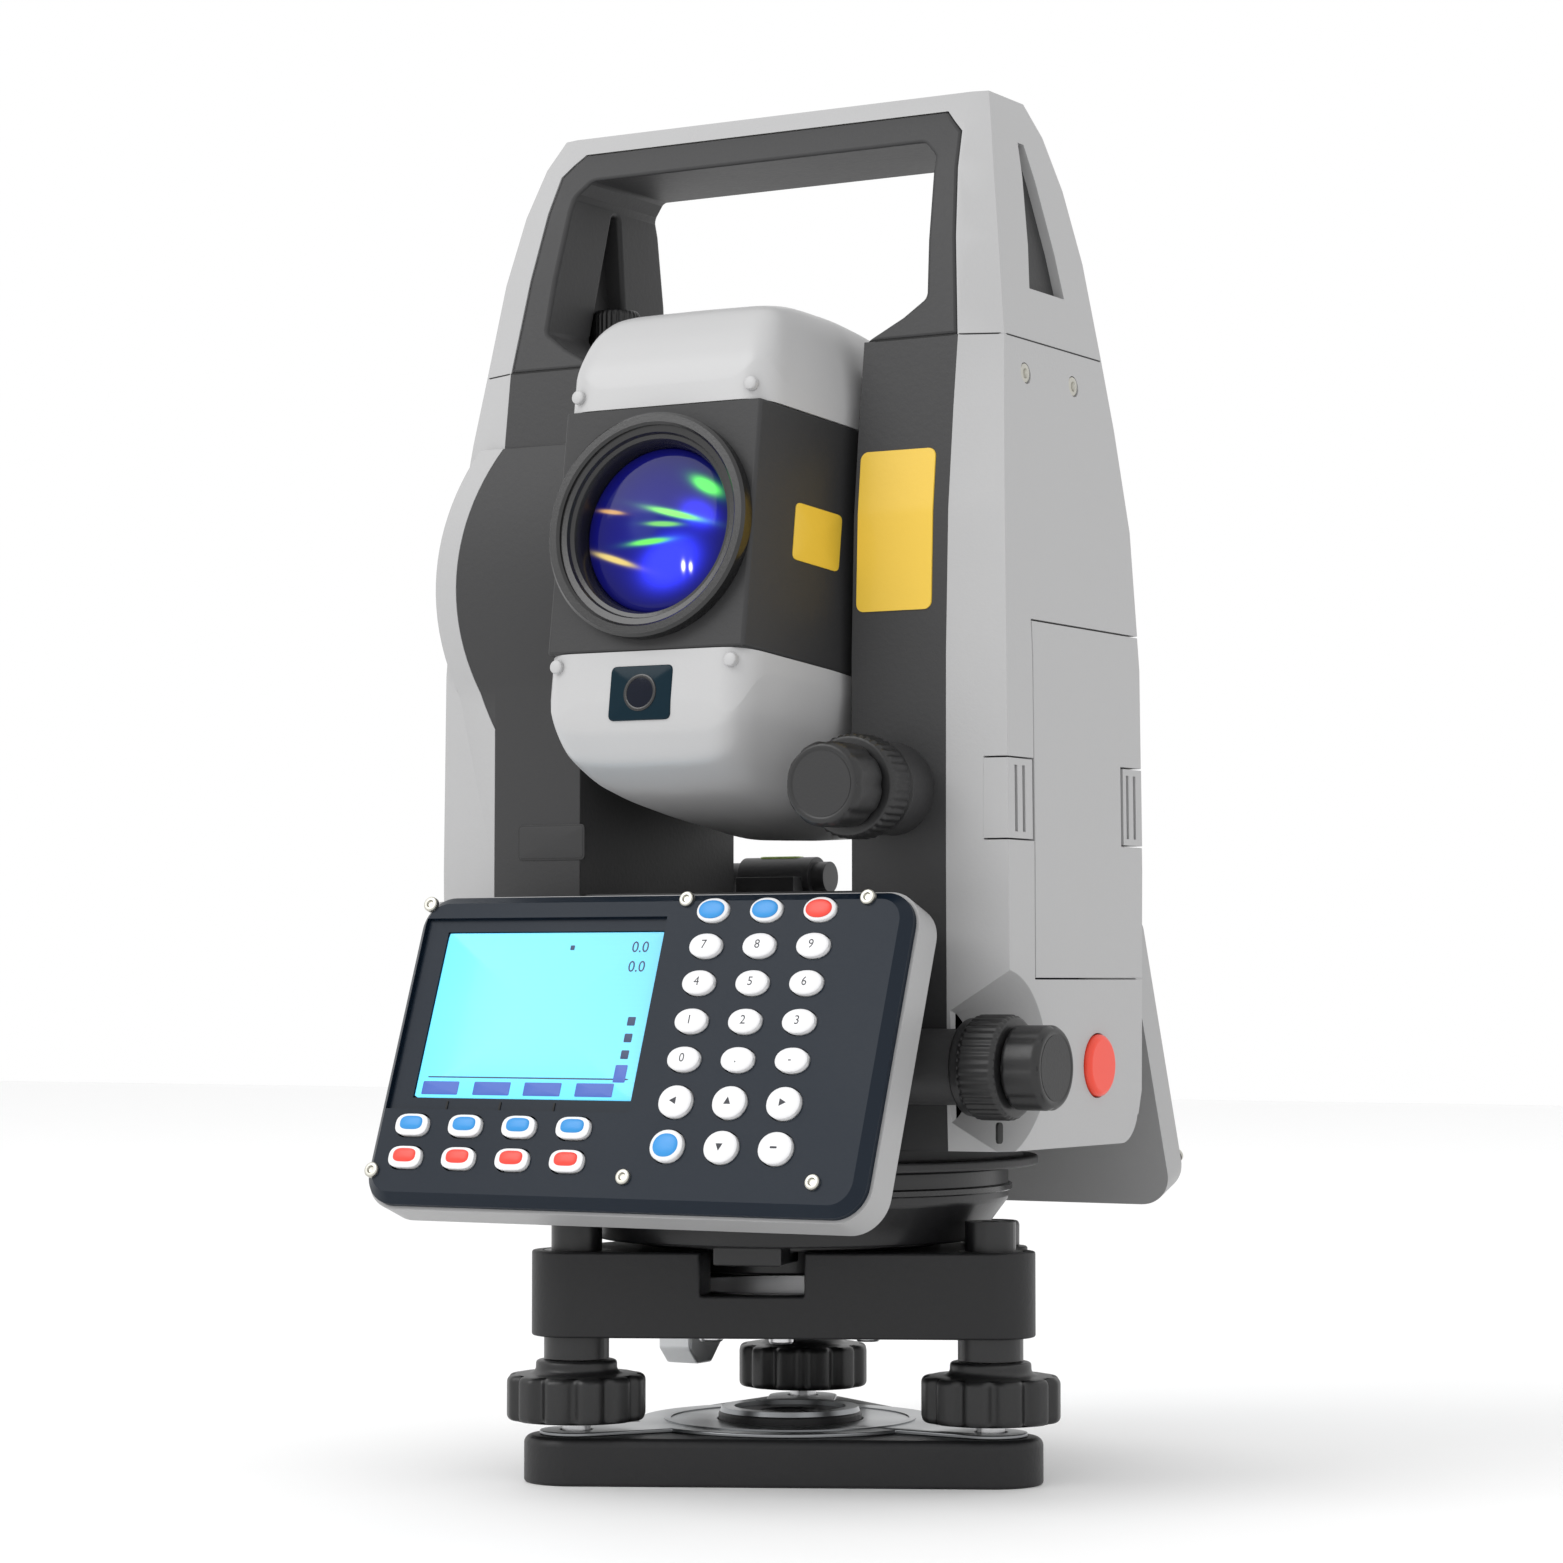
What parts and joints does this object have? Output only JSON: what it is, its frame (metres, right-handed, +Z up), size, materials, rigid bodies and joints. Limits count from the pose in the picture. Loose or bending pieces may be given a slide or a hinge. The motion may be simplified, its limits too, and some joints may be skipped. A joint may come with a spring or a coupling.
{
  "type": "surveying total station",
  "caption": "Surveying total station with carrying handle, turning alidade, tilting telescope, keypad panels and levelling tribrach.",
  "frame": {"origin": "centre of the tribrach's underside, at the mouth of the tripod thread, on the vertical axis", "axes": "+Z up along the vertical axis, -Y out of the front panel and the objective, +X out of the battery side"},
  "size_m": [0.176, 0.1772, 0.341],
  "materials": {
    "black_casting": "fine satin paint",
    "grey_casting": "fine textured satin paint",
    "light_cover": "fine moulded texture",
    "bright_steel": "turned and polished",
    "lever_metal": "satin cast",
    "black_knob": "satin moulded",
    "brass": "turned",
    "circle_glass": "clear disc",
    "board_green": "solder mask",
    "panel_face": "satin navy",
    "screen": "backlit display under glass",
    "key_white": "smooth silicone",
    "key_blue": "smooth silicone",
    "level_housing": "satin moulded",
    "trigger_red": "moulded",
    "objective_black": "black anodised",
    "lens_coated": "multi-coated",
    "window_teal": "dark filter"
  },
  "bodies": {
    "tribrach": {"base_plate": "black_casting", "spring_plate": "bright_steel", "foot_screw_bushes": "black_knob", "tribrach_body": "black_casting", "circular_level": "level_housing", "base_housing": "black_casting"},
    "foot_screw_right": {"foot_screw_right": "black_knob"},
    "foot_screw_rear": {"foot_screw_rear": "black_knob"},
    "foot_screw_left": {"foot_screw_left": "black_knob"},
    "lock_lever": {"lock_lever": "lever_metal"},
    "clamp_ring": {"clamp_ring": "brass"},
    "alidade": {"vertical_axis": "bright_steel", "horizontal_circle": "circle_glass", "alidade_base": "grey_casting", "main_board": "board_green", "right_standard": "grey_casting", "left_standard": "grey_casting", "left_cover": "light_cover", "right_cover": "light_cover", "trunnion_bearings": "brass", "plate_level": "level_housing", "handle_shell": "light_cover", "handle_liner": "grey_casting", "front_panel_shell": "light_cover", "front_panel_face": "panel_face", "front_screen": "screen", "rear_panel_shell": "light_cover", "rear_panel_face": "panel_face", "rear_screen": "screen", "cover_screws": "bright_steel", "drive_sleeves": "grey_casting"},
    "handle_screw_left": {"handle_screw_left": "black_knob"},
    "handle_screw_right": {"handle_screw_right": "black_knob"},
    "vertical_clamp": {"vertical_clamp": "black_knob"},
    "vertical_tangent": {"vertical_tangent": "black_knob"},
    "horizontal_clamp": {"horizontal_clamp": "black_knob"},
    "horizontal_tangent": {"horizontal_tangent": "black_knob"},
    "trigger": {"trigger_button": "trigger_red"},
    "battery": {"battery_pack": "light_cover"},
    "latch_front": {"battery_latch_front": "light_cover"},
    "latch_rear": {"battery_latch_rear": "light_cover"},
    "telescope": {"telescope_body": "grey_casting", "telescope_top_cover": "light_cover", "telescope_bottom_cover": "light_cover", "objective_ring": "objective_black", "objective_lens": "lens_coated", "distance_window": "window_teal", "sight_tube": "black_knob", "telescope_screws": "bright_steel", "trunnion_stubs": "bright_steel", "vertical_circle": "circle_glass"},
    "focusing_ring": {"focusing_ring": "black_knob"},
    "eyepiece": {"eyepiece": "black_knob"},
    "front_function_keys": {"front_function_keys": "key_blue"},
    "front_number_keys": {"front_number_keys": "key_white"},
    "front_arrow_keys": {"front_arrow_keys": "key_white"},
    "front_soft_keys": {"front_soft_keys": "key_blue"},
    "rear_number_keys": {"rear_number_keys": "key_white"},
    "rear_arrow_keys": {"rear_arrow_keys": "key_white"},
    "rear_soft_keys": {"rear_soft_keys": "key_blue"}
  },
  "joints": [
    {"name": "foot_screw_right_turn", "type": "hinge", "parent": "tribrach", "child": "foot_screw_right", "pos_m": [0.05851, -0.00327, 0.02], "axis": [0, 0, 1], "range_deg": [-1080, 1080]},
    {"name": "foot_screw_rear_turn", "type": "hinge", "parent": "tribrach", "child": "foot_screw_rear", "pos_m": [-0.02642, 0.05231, 0.02], "axis": [0, 0, 1], "range_deg": [-1080, 1080]},
    {"name": "foot_screw_left_turn", "type": "hinge", "parent": "tribrach", "child": "foot_screw_left", "pos_m": [-0.03209, -0.04903, 0.02], "axis": [0, 0, 1], "range_deg": [-1080, 1080]},
    {"name": "lock_lever_turn", "type": "hinge", "parent": "tribrach", "child": "lock_lever", "pos_m": [-0.046, 0.03, 0.0445], "axis": [-1, 0, 0], "range_deg": [0, 90]},
    {"name": "clamp_ring_turn", "type": "hinge", "parent": "tribrach", "child": "clamp_ring", "pos_m": [0, 0, 0.043], "axis": [0, 0, 1], "range_deg": [0, 27]},
    {"name": "alidade_turn", "type": "hinge", "parent": "tribrach", "child": "alidade", "pos_m": [0, 0, 0.0764], "axis": [0, 0, 1], "continuous": true},
    {"name": "telescope_tilt", "type": "hinge", "parent": "alidade", "child": "telescope", "pos_m": [0, 0, 0.222], "axis": [1, 0, 0], "continuous": true},
    {"name": "focus_turn", "type": "hinge", "parent": "telescope", "child": "focusing_ring", "pos_m": [0, 0, 0.222], "axis": [0, -0.9903, 0.1392], "range_deg": [-270, 270]},
    {"name": "eyepiece_turn", "type": "hinge", "parent": "telescope", "child": "eyepiece", "pos_m": [0, 0, 0.222], "axis": [0, -0.9903, 0.1392], "range_deg": [-180, 180]},
    {"name": "vertical_clamp_turn", "type": "hinge", "parent": "alidade", "child": "vertical_clamp", "pos_m": [0.0505, -0.054, 0.168], "axis": [0, -1, 0], "range_deg": [-80, 0]},
    {"name": "vertical_tangent_turn", "type": "hinge", "parent": "alidade", "child": "vertical_tangent", "pos_m": [0.0505, -0.066, 0.168], "axis": [0, -1, 0], "range_deg": [-1800, 1800]},
    {"name": "horizontal_clamp_turn", "type": "hinge", "parent": "alidade", "child": "horizontal_clamp", "pos_m": [0.078, -0.04, 0.102], "axis": [1, 0, 0], "range_deg": [-80, 0]},
    {"name": "horizontal_tangent_turn", "type": "hinge", "parent": "alidade", "child": "horizontal_tangent", "pos_m": [0.09, -0.04, 0.102], "axis": [1, 0, 0], "range_deg": [-1800, 1800]},
    {"name": "handle_screw_left_turn", "type": "hinge", "parent": "alidade", "child": "handle_screw_left", "pos_m": [-0.0525, 0, 0.29], "axis": [0, 0, 1], "range_deg": [0, 1440]},
    {"name": "handle_screw_right_turn", "type": "hinge", "parent": "alidade", "child": "handle_screw_right", "pos_m": [0.0525, 0, 0.29], "axis": [0, 0, 1], "range_deg": [0, 1440]},
    {"name": "trigger_press", "type": "slide", "parent": "alidade", "child": "trigger", "axis": [-1, 0, 0], "range_m": [0, 0.0015], "stiffness_N_per_m": 400},
    {"name": "battery_slide", "type": "slide", "parent": "alidade", "child": "battery", "axis": [1, 0, 0], "range_m": [0, 0.045]},
    {"name": "latch_front_press", "type": "slide", "parent": "battery", "child": "latch_front", "axis": [0, 1, 0], "range_m": [0, 0.001], "stiffness_N_per_m": 500},
    {"name": "latch_rear_press", "type": "slide", "parent": "battery", "child": "latch_rear", "axis": [0, -1, 0], "range_m": [0, 0.001], "stiffness_N_per_m": 500},
    {"name": "front_function_keys_press", "type": "slide", "parent": "alidade", "child": "front_function_keys", "axis": [0, 0.9373, -0.3486], "range_m": [0, 0.0008], "stiffness_N_per_m": 300},
    {"name": "front_number_keys_press", "type": "slide", "parent": "alidade", "child": "front_number_keys", "axis": [0, 0.9373, -0.3486], "range_m": [0, 0.0008], "stiffness_N_per_m": 300},
    {"name": "front_arrow_keys_press", "type": "slide", "parent": "alidade", "child": "front_arrow_keys", "axis": [0, 0.9373, -0.3486], "range_m": [0, 0.0008], "stiffness_N_per_m": 300},
    {"name": "front_soft_keys_press", "type": "slide", "parent": "alidade", "child": "front_soft_keys", "axis": [0, 0.9373, -0.3486], "range_m": [0, 0.0008], "stiffness_N_per_m": 300},
    {"name": "rear_number_keys_press", "type": "slide", "parent": "alidade", "child": "rear_number_keys", "axis": [0, -0.9373, -0.3486], "range_m": [0, 0.0008], "stiffness_N_per_m": 300},
    {"name": "rear_arrow_keys_press", "type": "slide", "parent": "alidade", "child": "rear_arrow_keys", "axis": [0, -0.9373, -0.3486], "range_m": [0, 0.0008], "stiffness_N_per_m": 300},
    {"name": "rear_soft_keys_press", "type": "slide", "parent": "alidade", "child": "rear_soft_keys", "axis": [0, -0.9373, -0.3486], "range_m": [0, 0.0008], "stiffness_N_per_m": 300}
  ],
  "couplings": [
    {"joint": "clamp_ring_turn", "follows": "lock_lever_turn", "ratio": 0.3}
  ]
}
